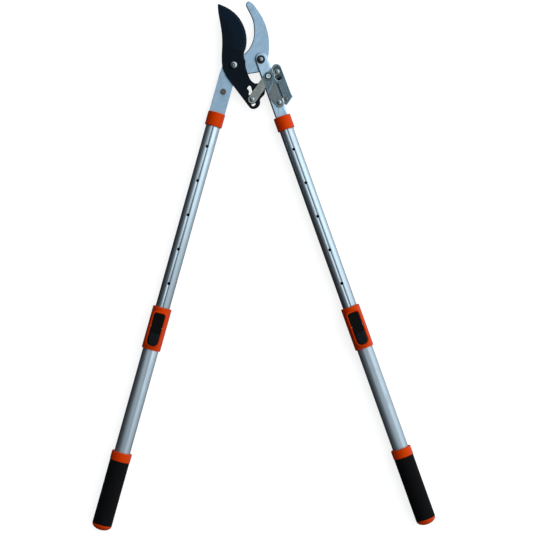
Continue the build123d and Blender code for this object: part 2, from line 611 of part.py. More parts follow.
def lock_housing(side):
    body = turned(HOUSING_TOP, HOUSING_END, HOUSING_R)
    body = fillet(body.edges().filter_by(GeomType.CIRCLE), HOUSING_ROUND)
    bezel = lever_block(BEZEL_MARGIN, BEZEL_LOW, BEZEL_Z)
    body += fillet(bezel.faces().sort_by(Axis.Z)[-1].edges(), BEZEL_ROUND)
    body -= turned(HOUSING_TOP - 1, HOUSING_TOP + HOUSING_LIP, INNER_R + HOUSING_BORE_GAP)
    body -= turned(HOUSING_TOP + HOUSING_LIP, HOUSING_END + 1, OUTER_R + FIT)
    body -= lever_block(POCKET_GAP, POCKET_FLOOR, BEZEL_Z + 5)
    body -= axle_rod(AXLE_R + FIT, AXLE_HALF_L + FIT)
    body -= Pos(0, -LOCK_AT, 0) * extrude(Circle(LOCK_HOLE_R), amount=2 * OUTER_R)
    return body - screw_body(FIT)


def screw_body(gap):
    """The countersunk screw at the back of the housing, grown by a gap."""
    shank = extrude(Circle(SCREW_R + gap), amount=HOUSING_R - SCREW_TIP)
    sink = Pos(0, 0, 1.2) * Cone(SCREW_HEAD_R + gap, SCREW_R + gap, SCREW_HEAD_H)
    return Pos(0, -SCREW_AT, -HOUSING_R) * (shank + sink)


def housing_screw(side):
    screw = screw_body(0.0)
    slot = Pos(0, -SCREW_AT, -HOUSING_R) * Box(2 * SCREW_HEAD_R, 1.0, 1.4)
    return screw & turned(HOUSING_TOP, HOUSING_END, HOUSING_R - PLAY) - slot


def axle_rod(radius, half_length):
    """A cylinder on the lever's axle."""
    return Pos(0, -AXLE_AT, AXLE_Z) * Rot(0, 90, 0) * Cylinder(radius, 2 * half_length)


def lock_lever(side):
    """A rocker with a raised pad below its axle and the lock pin above it."""
    lever = lever_block(0, LEVER_LOW, LEVER_HIGH)
    lever = fillet(lever.faces().sort_by(Axis.Z)[-1].edges(), LEVER_ROUND)
    pad = lever_block(-PAD_MARGIN, LEVER_HIGH - 2, PAD_Z, top=PAD_TOP)
    lever += fillet(pad.faces().sort_by(Axis.Z)[-1].edges(), PAD_ROUND)
    lever += axle_rod(AXLE_BOSS_R, LEVER_HALF_W - 0.2)
    lever -= axle_rod(AXLE_R + RUNNING, 2 * LEVER_HALF_W)
    recess = extrude(Circle(LOCK_SPRING_R + 1.2), amount=RECESS_TOP)
    lever -= Pos(0, -LOCK_SPRING_AT, 0) * recess
    pin_hole = extrude(Circle(LOCK_PIN_R), amount=RECESS_TOP)
    return lever - Pos(0, LOCK_PIN_LEAD - LOCK_AT, 0) * pin_hole


def lever_axle(side):
    """The lever's axle, moulded into the bezel at both ends."""
    return axle_rod(AXLE_R, AXLE_HALF_L)


def lock_pin(side):
    length = RECESS_TOP - LOCK_PIN_TIP
    pin = extrude(Circle(LOCK_PIN_R - 0.01), amount=length)
    pin = chamfer(pin.edges().filter_by(GeomType.CIRCLE).sort_by(Axis.Z)[0], 0.5)
    return Pos(0, LOCK_PIN_LEAD - LOCK_AT, LOCK_PIN_TIP) * pin


def lock_spring(side):
    height = RECESS_TOP - POCKET_FLOOR - 2 * LOCK_WIRE_R - PLAY
    path = Helix(LOCK_SPRING_PITCH, height, LOCK_SPRING_R)
    section = Plane(path @ 0, z_dir=path % 0) * Circle(LOCK_WIRE_R)
    spring = sweep(section, path=path, is_frenet=True)
    return Pos(0, -LOCK_SPRING_AT, POCKET_FLOOR + LOCK_WIRE_R + PLAY / 2) * spring


def grip_ring(side):
    ring = turned(RING_TOP, GRIP_TOP, RING_R)
    ring = fillet(ring.edges().filter_by(GeomType.CIRCLE), RING_ROUND)
    return ring - turned(RING_TOP - 1, GRIP_TOP + 1, OUTER_R + FIT)


def grip(side):
    return turned(GRIP_TOP, GRIP_END, GRIP_R) - turned(GRIP_TOP - 1, GRIP_END + 1, OUTER_R + FIT)


def end_cap(side):
    """Half an ellipse turned round the axis, with a plug inside the tube."""
    dome = outline(
        Line((0, -CAP_END), (0, -GRIP_END)),
        Line((0, -GRIP_END), (GRIP_R, -GRIP_END)),
        EllipticalCenterArc((0, -GRIP_END), GRIP_R, CAP_END - GRIP_END, start_angle=270, arc_size=90),
    )
    cap = revolve(dome, Axis.Y)
    return cap + turned(GRIP_END - CAP_PLUG, GRIP_END, OUTER_R - OUTER_WALL - FIT)


HEAD = {
    "hook_plate": hook_plate(),
    "pivot_bolt": pivot_bolt(),
    "pivot_nut": pivot_nut(),
    "pivot_washer": pivot_washer(),
    "stop_stud": stop_stud(),
    "arm_bolt": arm_bolt(),
    "arm_washer": arm_washer(),
    "arm_nut": arm_nut(),
    "cutting_blade": cutting_blade(),
    "arm_tang": arm_tang(),
    "drive_link_front": drive_link(LINK_BOTTOM, LINK_TOP),
    "drive_link_rear": drive_link(REAR_LINK_LOW, REAR_LINK_TOP),
    "ratchet_pin": ratchet_pin(),
    "link_pivot_bolt": link_pivot_bolt(),
    "link_pivot_nut": link_pivot_nut(),
    "spring_pin": spring_pin(),
    "spring_anchor": spring_anchor(),
    "ratchet_spring": ratchet_spring(),
    "ratchet_plate_front": ratchet_plate_front(),
    "ratchet_plate_rear": ratchet_plate_rear(),
    "spacer_plate_front": spacer_plate(BLADE_TOP, SPACER_TOP),
    "spacer_plate_rear": spacer_plate(SPACER_LOW, BLADE_BOTTOM),
    "plate_bolt": plate_bolt(),
    "plate_nut": plate_nut(),
}
HANDLE = (
    collar, tang_core, tang_pin, inner_tube, guide_bush, outer_tube, lock_housing,
    housing_screw, lock_lever, lever_axle, lock_pin, lock_spring, grip_ring, grip, end_cap,
)

os.makedirs("parts", exist_ok=True)
for name, shape in HEAD.items():
    export_step(in_head(shape), f"parts/{name}.step")
for side in ("left", "right"):
    place = handle_place(side)
    for make in HANDLE:
        export_step(place * make(side), f"parts/{side}_{make.__name__}.step")
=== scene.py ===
import json
import math

import bpy
import numpy as np
from mathutils import Matrix, Vector


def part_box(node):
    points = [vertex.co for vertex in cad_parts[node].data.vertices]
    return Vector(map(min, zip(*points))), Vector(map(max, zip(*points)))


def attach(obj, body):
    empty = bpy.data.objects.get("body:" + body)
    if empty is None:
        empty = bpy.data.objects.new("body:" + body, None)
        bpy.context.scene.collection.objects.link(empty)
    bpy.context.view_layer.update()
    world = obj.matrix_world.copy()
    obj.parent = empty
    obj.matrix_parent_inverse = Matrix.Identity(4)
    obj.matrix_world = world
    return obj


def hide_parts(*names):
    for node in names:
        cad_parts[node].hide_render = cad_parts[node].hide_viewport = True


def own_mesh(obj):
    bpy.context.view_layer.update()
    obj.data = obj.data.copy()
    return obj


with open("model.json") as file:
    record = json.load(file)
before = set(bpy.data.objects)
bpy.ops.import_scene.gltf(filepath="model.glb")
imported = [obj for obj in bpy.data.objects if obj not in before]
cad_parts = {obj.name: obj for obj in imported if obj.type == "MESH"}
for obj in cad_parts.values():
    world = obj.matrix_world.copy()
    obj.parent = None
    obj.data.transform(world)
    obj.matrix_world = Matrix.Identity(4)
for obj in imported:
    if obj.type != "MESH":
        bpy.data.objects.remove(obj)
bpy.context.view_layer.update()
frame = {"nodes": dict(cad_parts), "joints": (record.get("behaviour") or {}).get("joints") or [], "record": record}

MM = 0.001
SIDES = ("left", "right")
NODES = frame["nodes"]
RECORD = frame["record"]
JOINTS = {joint["name"]: joint for joint in frame["joints"]}
MOUNTS = {mount["name"]: mount for mount in RECORD["mounts"]}


# ---- where things are ----------------------------------------------------------------
def centre_of(node):
    """The middle of a CAD node's box."""
    low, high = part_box(node)
    return (low + high) / 2


def handle_turn(side):
    """A handle's angle about Z, from +Y, in radians."""
    x, y, _ = JOINTS[side + "_telescope"]["axis"]
    return math.atan2(-x, y)


def handle_matrix(side):
    """From a frame at the middle of the grip, with -Y towards the free end, to the tool's."""
    return Matrix.Translation(MOUNTS[side + "_grip"]["pos_m"]) @ Matrix.Rotation(handle_turn(side), 4, "Z")


HANDLE_TURN = {side: handle_turn(side) for side in SIDES}


# ---- colours and sizes of the finishes -----------------------------------------------
IGNORED = 1e3                        # a size so large that its axis counts for nothing
HOLE_FOOT = -5 * MM                  # from a lock pin's middle; holes' rims get painted shade only above it
HOLE_PITCH = 66.4 * MM
HOLE_R = 2.8 * MM
INNER_BORE_R = 12.4 * MM
OUTER_BORE_R = 13.9 * MM
PAD_FROM = -7.0 * MM                 # along a lever, from its middle
LINK_TURN = math.radians(-54.0)      # the links' long arm, from +Y
PLATE_TURN = math.radians(20.0)      # the plates' brushing, from +Y
HOOK_TURN = math.radians(-35.0)      # the grinding marks across the hook, from +Y

ORANGE = (0.53, 0.030, 0.0002)
ORANGE_GLINT = (1.0, 0.36, 0.05, 1)
BLACK = (0.0009, 0.0011, 0.0014)
PAD_NAVY = (0.0038, 0.0054, 0.0084)
HOOK_BLUE = (0.30, 0.445, 0.58)
# the arm tang's steel: the hook's blue steel painted lighter, as painted light on the tang
LIT_TANG_BLUE = (0.38, 0.54, 0.68)
PLATE_GREY = (0.115, 0.165, 0.195)
SPACER_GREY = (0.145, 0.175, 0.19)
LINK_GREY = (0.235, 0.265, 0.25)
CORE_GREY = (0.34, 0.43, 0.47)
STUD_GREY = (0.125, 0.115, 0.10)
NUT_GREY = (0.36, 0.42, 0.46)
TUBE_INNER = (0.385, 0.48, 0.545)
TUBE_OUTER = (0.36, 0.44, 0.50)
SATIN = {"left": 0.42, "right": 0.54}     # roughness of the outer tubes: the right one is more rubbed
BLADE_GLINT = (0.60, 0.80, 1.0, 1)

# radii on the link bolt, from its axis outwards; the grooves and the flange's edge get painted shade
SOCKET_SHADE = (1.0 * MM, 2.2 * MM)
HEXAGON_EDGE = (4.6 * MM, 5.1 * MM)
GROOVE_SHADE = (4.2 * MM, 6.5 * MM)
FLANGE_EDGE = (7.2 * MM, 8.2 * MM)
GROOVE_BLUR = 0.2 * MM


# ---- materials -----------------------------------------------------------------------
class Tree:
    """A material and short calls for the nodes that the finishes here are made of."""

    def __init__(self, name):
        self.material = bpy.data.materials.new(name)
        self.material.use_nodes = True
        self.nodes = self.material.node_tree.nodes
        self.links = self.material.node_tree.links
        self.shader = self.nodes["Principled BSDF"]
        self.place = self.add("ShaderNodeTexCoord").outputs["Object"]

    def add(self, kind, sockets=None, **settings):
        node = self.nodes.new(kind)
        for name, value in settings.items():
            setattr(node, name, value)
        for name, value in (sockets or {}).items():
            self.put(node.inputs[name], value)
        return node

    def put(self, socket, value):
        """Links a socket to a socket, or sets its value."""
        if isinstance(value, bpy.types.NodeSocket):
            self.links.new(value, socket)
        else:
            socket.default_value = value

    def set(self, **values):
        """Sets the shader's own sockets; an underscore stands for a space."""
        for name, value in values.items():
            self.put(self.shader.inputs[name.replace("_", " ")], value)

    def local(self, place=(0, 0, 0), turn=0.0, size=(1, 1, 1)):
        """Coordinates from a place, along axes turned about Z, each divided by its size."""
        return self.add("ShaderNodeMapping", vector_type="TEXTURE", sockets={
            "Vector": self.place, "Location": place, "Rotation": (0, 0, turn), "Scale": size}).outputs[0]

    def parts(self, vector):
        """A vector's X, Y and Z."""
        return self.add("ShaderNodeSeparateXYZ", {0: vector}).outputs

    def length(self, vector):
        return self.add("ShaderNodeVectorMath", {0: vector}, operation="LENGTH").outputs["Value"]

    def grain(self, size, turn=0.0, detail=2.0, roughness=0.5, distortion=0.0):
        """Noise whose features have the given sizes, in metres, along axes turned about Z."""
        return self.add("ShaderNodeTexNoise", {
            "Vector": self.local(turn=turn, size=size), "Scale": 1.0, "Detail": detail,
            "Roughness": roughness, "Distortion": distortion}).outputs["Fac"]

    def cells(self, size):
        """Distances in a cell pattern of that size, in metres."""
        return self.add("ShaderNodeTexVoronoi", feature="F1", sockets={
            "Vector": self.local(size=(size, size, size)), "Scale": 1.0}).outputs["Distance"]

    def away(self, centre):
        """The distance from a vertical axis through the centre."""
        return self.length(self.local((centre[0], centre[1], 0), size=(1, 1, IGNORED)))

    def beside(self, place, turn):
        """The distance from a level line through the place, which runs along Y turned about Z."""
        return self.length(self.local(place, turn, (1, IGNORED, 1)))

    def ahead(self, place, turn):
        """How far on a point is from the place, along Y turned about Z."""
        return self.parts(self.local(place, turn))["Y"]

    def row_of_holes(self, place, turn, pitch, radius):
        """1 at the upper ends of upright holes, a pitch apart along Y turned about Z."""
        parts = self.parts(self.local(place, turn))
        along = self.add("ShaderNodeMath", {0: parts["Y"], 1: pitch / 2, 2: -pitch / 2}, operation="WRAP")
        across = self.add("ShaderNodeCombineXYZ", {"X": parts["X"], "Y": along.outputs[0]})
        reach = self.length(across.outputs[0])
        upper = self.span(parts["Z"], HOLE_FOOT, HOLE_FOOT + 1 * MM)
        return self.product(upper, self.span(reach, radius + 0.2 * MM, radius - 0.1 * MM))

    def rings(self, distance, pitch):
        """Turning marks: noise along a distance."""
        return self.add("ShaderNodeTexNoise", {
            "W": self.sum(distance, 1 / pitch), "Scale": 1.0, "Detail": 2.0},
            noise_dimensions="1D").outputs["Fac"]

    def between(self, value, low, high, blur):
        """1 where the value is between low and high, fading over the blur."""
        above = self.span(value, low - blur, low + blur)
        return self.product(above, self.span(value, high + blur, high - blur))

    def height(self):
        """The height above the floor, with the tool at rest."""
        return self.parts(self.place)["Z"]

    def sum(self, value, times=1.0, plus=0.0):
        """The value times one number or value, plus another."""
        return self.add("ShaderNodeMath", {0: value, 1: times, 2: plus},
                        operation="MULTIPLY_ADD").outputs[0]

    def product(self, a, b):
        return self.add("ShaderNodeMath", {0: a, 1: b}, operation="MULTIPLY").outputs[0]

    def span(self, value, start, end, low=0.0, high=1.0):
        """The value's range from start to end, stretched to low to high and held there."""
        return self.add("ShaderNodeMapRange", {
            "Value": value, "From Min": start, "From Max": end, "To Min": low, "To Max": high
        }).outputs[0]

    def mix(self, share, a, b):
        """A colour between two, by a share from 0 to 1."""
        node = self.add("ShaderNodeMix", data_type="RGBA", clamp_factor=True)
        self.put(node.inputs[0], share)
        self.put(node.inputs[6], a)
        self.put(node.inputs[7], b)
        return node.outputs[2]

    def bump(self, height, distance, below=None):
        """A bump of that height in metres, on top of another if one is given."""
        sockets = {"Height": height, "Distance": distance, "Strength": 1.0}
        if below is not None:
            sockets["Normal"] = below
        return self.add("ShaderNodeBump", sockets).outputs[0]

    def edges(self, radius, sharpness=0.25):
        """1 on the rims of a piece and 0 on its open faces."""
        rounded = self.add("ShaderNodeBevel", {"Radius": radius}, samples=6).outputs[0]
        flat = self.add("ShaderNodeNewGeometry").outputs["Normal"]
        likeness = self.add("ShaderNodeVectorMath", {0: rounded, 1: flat}, operation="DOT_PRODUCT")
        return self.span(likeness.outputs["Value"], 0.98, 1.0 - sharpness)

    def slopes(self):
        """1 on a face that slants like a ground bevel, 0 on flat and upright faces."""
        normal = self.add("ShaderNodeNewGeometry").outputs["True Normal"]
        height = self.parts(normal)["Z"]
        return self.product(self.span(height, 0.98, 0.93), self.span(height, 0.25, 0.45))


def shade(colour, times):
    """A colour made lighter or darker, with full alpha."""
    return (*[min(1.0, part * times) for part in colour], 1.0)


def satin_steel(name, colour, roughness=0.42, turn=0.0, grain=(0.5, 0.5, 0.5), streak=0.10, rim=1.45,
                bevel=0.0):
    """Blasted or brushed steel, worn brighter on its rims and with a painted highlight on its slanted bevels by
    the share bevel; the grain's sizes are in millimetres.
    """
    tree = Tree(name)
    lines = tree.grain([1.1 * MM, 16 * MM, 1.1 * MM], turn, detail=3.0, roughness=0.6)
    fine = tree.grain([size * MM for size in grain], turn, detail=3.0, roughness=0.65)
    cloud = tree.grain([22 * MM] * 3, turn, detail=3.0)
    smudge = tree.span(tree.grain([7 * MM, 11 * MM, 7 * MM], turn + 0.6, detail=4.0), 0.52, 0.72)
    scratch = tree.span(tree.grain([0.25 * MM, 9 * MM, 9 * MM], turn + 0.9, detail=1.0), 0.70, 0.76)
    rims = tree.edges(0.5 * MM)
    tone = tree.mix(cloud, shade(colour, 0.88), shade(colour, 1.10))
    tone = tree.mix(tree.span(lines, 0.62, 0.36, 0.0, 3 * streak), tone, shade(colour, 0.60))
    tone = tree.mix(tree.span(lines, 0.48, 0.70, 0.0, 3 * streak), tone, shade(colour, 1.45))
    tone = tree.mix(tree.span(fine, 0.3, 0.7, 0.0, 0.35), tone, shade(colour, 0.78))
    tone = tree.mix(tree.product(smudge, 0.25), tone, shade(colour, 0.62))
    tone = tree.mix(tree.product(scratch, 0.5), tone, shade(colour, 1.3))
    tone = tree.mix(tree.product(rims, 0.45), tone, shade(colour, rim))
    # painted highlight on the slanted bevel faces
    if bevel:
        tone = tree.mix(tree.product(tree.slopes(), bevel), tone, shade(colour, 2 * rim))
    rough = tree.span(fine, 0.25, 0.75, roughness - 0.07, roughness + 0.07)
    rough = tree.sum(smudge, 0.08, rough)
    tree.set(Base_Color=tone, Roughness=rough, Metallic=1.0, Normal=tree.bump(fine, 0.02 * MM))
    return tree.material


def coated_blade():
    """A thin dark non-stick coating over ground steel, rubbed where the blade cuts and slides."""
    tree = Tree("blade_coating")
    body, band, bare = (0.0026, 0.0044, 0.0085), (0.0026, 0.0062, 0.0140), (0.16, 0.18, 0.21)
    hollow = (0.0022, 0.0082, 0.0175)
    fine = tree.grain([0.35 * MM] * 3, detail=4.0, roughness=0.7)
    grind = tree.grain([0.25 * MM, 6 * MM, 6 * MM], 1.15, detail=2.0)
    cloud = tree.grain([18 * MM, 30 * MM, 18 * MM], -0.2, detail=3.0)
    scratch = tree.span(tree.grain([0.3 * MM, 14 * MM, 14 * MM], 1.9, detail=1.0), 0.69, 0.74)
    slope = tree.slopes()
    rims = tree.edges(0.45 * MM, 0.3)
    tone = tree.mix(cloud, shade(body, 0.7), shade(body, 1.5))
    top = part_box("cutting_blade")[1].z
    ground = tree.span(tree.height(), top - 0.12 * MM, top - 0.18 * MM)
    tone = tree.mix(ground, tone, tree.mix(grind, shade(hollow, 0.8), shade(hollow, 1.2)))
    tone = tree.mix(slope, tone, tree.mix(grind, shade(band, 0.6), shade(band, 1.6)))
    tone = tree.mix(tree.product(scratch, 0.25), tone, shade(bare, 0.35))
    worn = tree.product(rims, tree.span(tree.grain([3 * MM] * 3, detail=4.0), 0.42, 0.62, 0.1, 0.75))
    tone = tree.mix(tree.product(worn, 0.35), tone, shade(bare, 0.7))
    rough = tree.span(fine, 0.3, 0.7, 0.36, 0.50)
    height = tree.sum(grind, 0.4, fine)
    tree.set(Base_Color=tone, Roughness=rough, Metallic=tree.product(worn, 0.5),
             Specular_IOR_Level=0.07, Specular_Tint=BLADE_GLINT, Normal=tree.bump(height, 0.018 * MM))
    return tree.material


def bright_bolt(node, colour=NUT_GREY, radius=0.0, key=0.0):
    """Zinc plate with turning marks round the bolt's own axis, with painted shade round the head and in its socket
    and a painted highlight in the socket's middle.

    The head's radius and its socket's width are in millimetres; a plain part has neither.
    """
    tree = Tree("zinc_" + node)
    away = tree.away(centre_of(node))
    turned = tree.rings(away, 0.35 * MM)
    cloud = tree.grain([2.5 * MM] * 3, detail=4.0)
    rims = tree.edges(0.35 * MM)
    tone = tree.mix(cloud, shade(colour, 0.72), shade(colour, 1.12))
    tone = tree.mix(tree.product(rims, 0.5), tone, shade(colour, 1.6))
    if radius:
        # painted shade round the rim of the head
        head_shade = tree.span(away, 0.66 * radius * MM, 0.96 * radius * MM, 0.0, 0.85)
        tone = tree.mix(head_shade, tone, shade(colour, 0.16))
    if key:
        # painted shade in the socket
        tone = tree.mix(tree.span(away, 0.60 * key * MM, 0.46 * key * MM), tone, shade(colour, 0.05))
        # painted highlight in the socket's middle
        tone = tree.mix(tree.span(away, 0.20 * key * MM, 0.10 * key * MM), tone, shade(colour, 2.0))
    rough = tree.span(turned, 0.3, 0.7, 0.09, 0.25)
    tree.set(Base_Color=tone, Roughness=rough, Metallic=1.0, Normal=tree.bump(turned, 0.02 * MM))
    return tree.material


def flanged_bolt(node):
    """The link bolt: a hexagon painted lighter as a highlight, with painted shade in a groove round it and in its
    socket, on a flange as dull as the plate with painted shade at its edge.
    """
    tree = Tree("zinc_" + node)
    away = tree.away(centre_of(node))
    turned = tree.rings(away, 0.35 * MM)
    cloud = tree.grain([2.5 * MM] * 3, detail=4.0)
    rims = tree.edges(0.35 * MM)
    tone = tree.mix(cloud, shade(PLATE_GREY, 1.0), shade(PLATE_GREY, 1.5))
    # painted shade at the flange's edge
    tone = tree.mix(tree.span(away, *FLANGE_EDGE, 0.0, 0.8), tone, shade(PLATE_GREY, 0.2))
    # the hexagon is painted lighter than the bolts' zinc, as a painted highlight
    tone = tree.mix(tree.span(away, *reversed(HEXAGON_EDGE)), tone, shade(CORE_GREY, 1.6))
    tone = tree.mix(tree.product(rims, 0.6), tone, shade(CORE_GREY, 1.6))
    # painted shade in the groove round the hexagon
    tone = tree.mix(tree.between(away, *GROOVE_SHADE, GROOVE_BLUR), tone, (0.006, 0.007, 0.008, 1))
    # painted shade in the socket
    tone = tree.mix(tree.between(away, *SOCKET_SHADE, GROOVE_BLUR), tone, shade(CORE_GREY, 0.3))
    tree.set(Base_Color=tone, Roughness=tree.span(turned, 0.3, 0.7, 0.16, 0.32), Metallic=1.0,
             Normal=tree.bump(turned, 0.02 * MM))
    return tree.material


def black_oxide():
    """Blackened steel, with the metal just showing on its rims."""
    tree = Tree("black_oxide")
    fine = tree.grain([0.5 * MM] * 3, detail=4.0)
    rims = tree.edges(0.3 * MM)
    tone = tree.mix(fine, (0.006, 0.007, 0.008, 1), (0.016, 0.017, 0.018, 1))
    tone = tree.mix(tree.product(rims, 0.4), tone, (0.12, 0.12, 0.12, 1))
    tree.set(Base_Color=tone, Roughness=tree.span(fine, 0.3, 0.7, 0.35, 0.5), Metallic=0.6,
             Normal=tree.bump(fine, 0.01 * MM))
    return tree.material


def drawn_tube(name, side, colour, roughness, bore, depth=0.012, holes=False):
    """Satin anodised aluminium with drawing lines along the tube and light handling marks.

    Its bore is painted black, as shade inside the tube.
    """
    tree = Tree(name)
    turn = HANDLE_TURN[side]
    off_axis = tree.beside(MOUNTS[side + "_grip"]["pos_m"], turn)
    inside = tree.span(off_axis, bore + 0.3 * MM, bore)
    lines = tree.grain([0.35 * MM, 60 * MM, 0.35 * MM], turn, detail=2.0)
    streaks = tree.grain([1.6 * MM, 140 * MM, 1.6 * MM], turn, detail=2.0)
    fine = tree.grain([0.3 * MM] * 3, detail=2.0)
    smudge = tree.span(tree.grain([9 * MM, 26 * MM, 9 * MM], turn, detail=4.0), 0.50, 0.74)
    scuff = tree.span(tree.grain([0.2 * MM, 16 * MM, 0.2 * MM], turn + 0.06, detail=1.0), 0.72, 0.78)
    rims = tree.edges(0.4 * MM)
    tone = tree.mix(streaks, shade(colour, 0.92), shade(colour, 1.06))
    tone = tree.mix(tree.product(smudge, 0.16), tone, shade(colour, 0.68))
    tone = tree.mix(tree.product(scuff, 0.4), tone, shade(colour, 1.3))
    tone = tree.mix(tree.product(rims, 0.5), tone, shade(colour, 1.4))
    # painted shade: the bore is painted black
    tone = tree.mix(inside, tone, (0.004, 0.004, 0.004, 1))
    if holes:
        # painted shade on the upper ends of the lock holes
        hole_shade = tree.row_of_holes(centre_of(side + "_lock_pin"), turn, HOLE_PITCH, HOLE_R)
        tone = tree.mix(hole_shade, tone, (0.006, 0.006, 0.006, 1))
    rough = tree.span(lines, 0.3, 0.7, roughness - 0.05, roughness + 0.06)
    rough = tree.sum(smudge, 0.07, rough)
    height = tree.sum(fine, 0.5, lines)
    tree.set(Base_Color=tone, Roughness=rough, Metallic=1.0, Normal=tree.bump(height, depth * MM))
    return tree.material


def moulded(name, colour, roughness, wear=0.25, specular=0.4, glint=(1, 1, 1, 1), pad=None):
    """Injection-moulded plastic with a spark-eroded skin, paler where its rims are rubbed.

    A pad is the node whose lower end gets a painted navy sheen, and that node's angle about Z.
    """
    tree = Tree(name)
    skin = tree.grain([0.4 * MM] * 3, detail=3.0, roughness=0.6)
    flow = tree.grain([14 * MM] * 3, detail=3.0, distortion=0.6)
    rub = tree.span(tree.grain([2.5 * MM] * 3, detail=5.0), 0.45, 0.62)
    rims = tree.product(tree.edges(0.8 * MM), tree.span(rub, 0, 1, 0.35, 1.0))
    pale = [min(1.0, part + 0.02) for part in colour]
    tone = tree.mix(flow, shade(colour, 0.90), shade(colour, 1.08))
    tone = tree.mix(tree.span(skin, 0.35, 0.65, 0.0, 0.18), tone, shade(colour, 0.75))
    tone = tree.mix(tree.product(rims, wear), tone, shade(pale, 1.0))
    if pad:
        along = tree.ahead(centre_of(pad[0]), pad[1])
        # painted sheen: the pad's lower end is painted navy
        pad_sheen = tree.span(along, PAD_FROM - 0.5 * MM, PAD_FROM - 1.5 * MM)
        tone = tree.mix(pad_sheen, tone, shade(PAD_NAVY, 1.0))
    rough = tree.span(skin, 0.3, 0.7, roughness - 0.06, roughness + 0.08)
    tree.set(Base_Color=tone, Roughness=rough, Specular_IOR_Level=specular, Specular_Tint=glint,
             Normal=tree.bump(skin, 0.02 * MM))
    return tree.material


def foam():
    """Closed-cell foam: fine open pores, painted darker as shade, in a matt skin, greyer where hands rub it."""
    tree = Tree("grip_foam")
    pores = tree.cells(0.55 * MM)
    fine = tree.grain([0.25 * MM] * 3, detail=3.0)
    cloud = tree.grain([12 * MM] * 3, detail=3.0)
    tone = tree.mix(cloud, (0.0020, 0.0021, 0.0027, 1), (0.0042, 0.0044, 0.0054, 1))
    # painted shade: the pores are darker than the skin
    tone = tree.mix(tree.span(pores, 0.15, 0.5), (0.0008, 0.0008, 0.0010, 1), tone)
    height = tree.sum(fine, 0.3, tree.span(pores, 0.1, 0.55))
    tree.set(Base_Color=tone, Roughness=tree.span(pores, 0.1, 0.6, 0.95, 0.78),
             Specular_IOR_Level=0.06, Sheen_Weight=0.012, Sheen_Roughness=0.5,
             Normal=tree.bump(height, 0.12 * MM))
    return tree.material


def paint(node, material):
    """Gives a CAD node or a piece that one material."""
    mesh = node.data
    mesh.materials.clear()
    mesh.materials.append(material)


orange = moulded("orange_plastic", ORANGE, 0.34, wear=0.04, specular=0.35, glint=ORANGE_GLINT)
nylon = moulded("grey_nylon", (0.30, 0.31, 0.32), 0.5)
spring_steel = satin_steel("spring_steel", (0.5, 0.5, 0.5), 0.3, grain=(0.4, 0.4, 0.4))
oiled_steel = satin_steel("oiled_steel", (0.020, 0.021, 0.023), 0.4, grain=(0.4, 0.4, 0.4))

paint(NODES["hook_plate"], satin_steel("hook_steel", HOOK_BLUE, turn=HOOK_TURN))
# the tang gets a lighter copy of the hook's steel, as painted light
paint(NODES["arm_tang"], satin_steel("tang_steel", LIT_TANG_BLUE, turn=HOOK_TURN))
paint(NODES["cutting_blade"], coated_blade())
link_steel = satin_steel("link_steel", LINK_GREY, 0.40, LINK_TURN, (0.35, 6.0, 0.35), 0.28, 1.8)
# the plates' slanted bevels get a painted highlight
plate_steel = satin_steel("plate_steel", PLATE_GREY, 0.36, PLATE_TURN, (0.35, 9.0, 0.35), 0.30, 2.6, 0.9)
spacer_steel = satin_steel("spacer_steel", SPACER_GREY, 0.36, PLATE_TURN, (0.35, 9.0, 0.35), 0.22)
for end in ("front", "rear"):
    paint(NODES["drive_link_" + end], link_steel)
    paint(NODES["ratchet_plate_" + end], plate_steel)
    paint(NODES["spacer_plate_" + end], spacer_steel)
paint(NODES["arm_washer"], black_oxide())
HEADS = {                            # radius and socket of a head, in millimetres
    "pivot_bolt": (7.8, 6.0), "arm_bolt": (4.9, 3.4), "ratchet_pin": (4.6, 3.0), "spring_pin": (4.6, 3.0),
    "plate_bolt": (4.6, 3.0), "stop_stud": (5.2, 0.0), "spring_anchor": (3.7, 1.6),
}
PLAIN = ("pivot_nut", "pivot_washer", "arm_nut", "link_pivot_nut", "plate_nut")
DULL = {"stop_stud": STUD_GREY, "spring_anchor": SPACER_GREY}
for bolt, (radius, key) in HEADS.items():
    colour = DULL.get(bolt, CORE_GREY)
    paint(NODES[bolt], bright_bolt(bolt, colour, radius, key))
for bolt in PLAIN:
    paint(NODES[bolt], bright_bolt(bolt))
paint(NODES["link_pivot_bolt"], flanged_bolt("link_pivot_bolt"))
BOLTS = (*HEADS, *PLAIN, "link_pivot_bolt")
for side in SIDES:
    turn = HANDLE_TURN[side]
    inner = drawn_tube(side + "_inner_aluminium", side, TUBE_INNER, 0.36, INNER_BORE_R, holes=True)
    outer = drawn_tube(side + "_outer_aluminium", side, TUBE_OUTER, SATIN[side], OUTER_BORE_R, 0.02)
    lever = moulded(side + "_black_plastic", BLACK, 0.46, wear=0.02, specular=0.07,
                    pad=(side + "_lock_lever", turn))
    fine_zinc = satin_steel(side + "_zinc", (0.6, 0.62, 0.65), 0.28, turn, (0.2, 3.0, 0.2))
    finishes = {
        "collar": orange, "tang_core": nylon, "tang_pin": fine_zinc, "inner_tube": inner,
        "guide_bush": nylon, "outer_tube": outer, "lock_housing": orange, "housing_screw": fine_zinc,
        "lock_lever": lever, "lever_axle": fine_zinc, "lock_pin": fine_zinc,
        "grip_ring": orange, "end_cap": orange,
    }
    for part, material in finishes.items():
        paint(NODES[f"{side}_{part}"], material)


# ---- geometry ------------------------------------------------------------------------
SHARP = math.radians(35.0)           # rims that turn by more than this are rounded
PRESSED_RIM = 0.6 * MM
GROUND_RIM = 0.35 * MM
SMALL_RIM = 0.2 * MM
AROUND = 128                         # faces round a turned piece


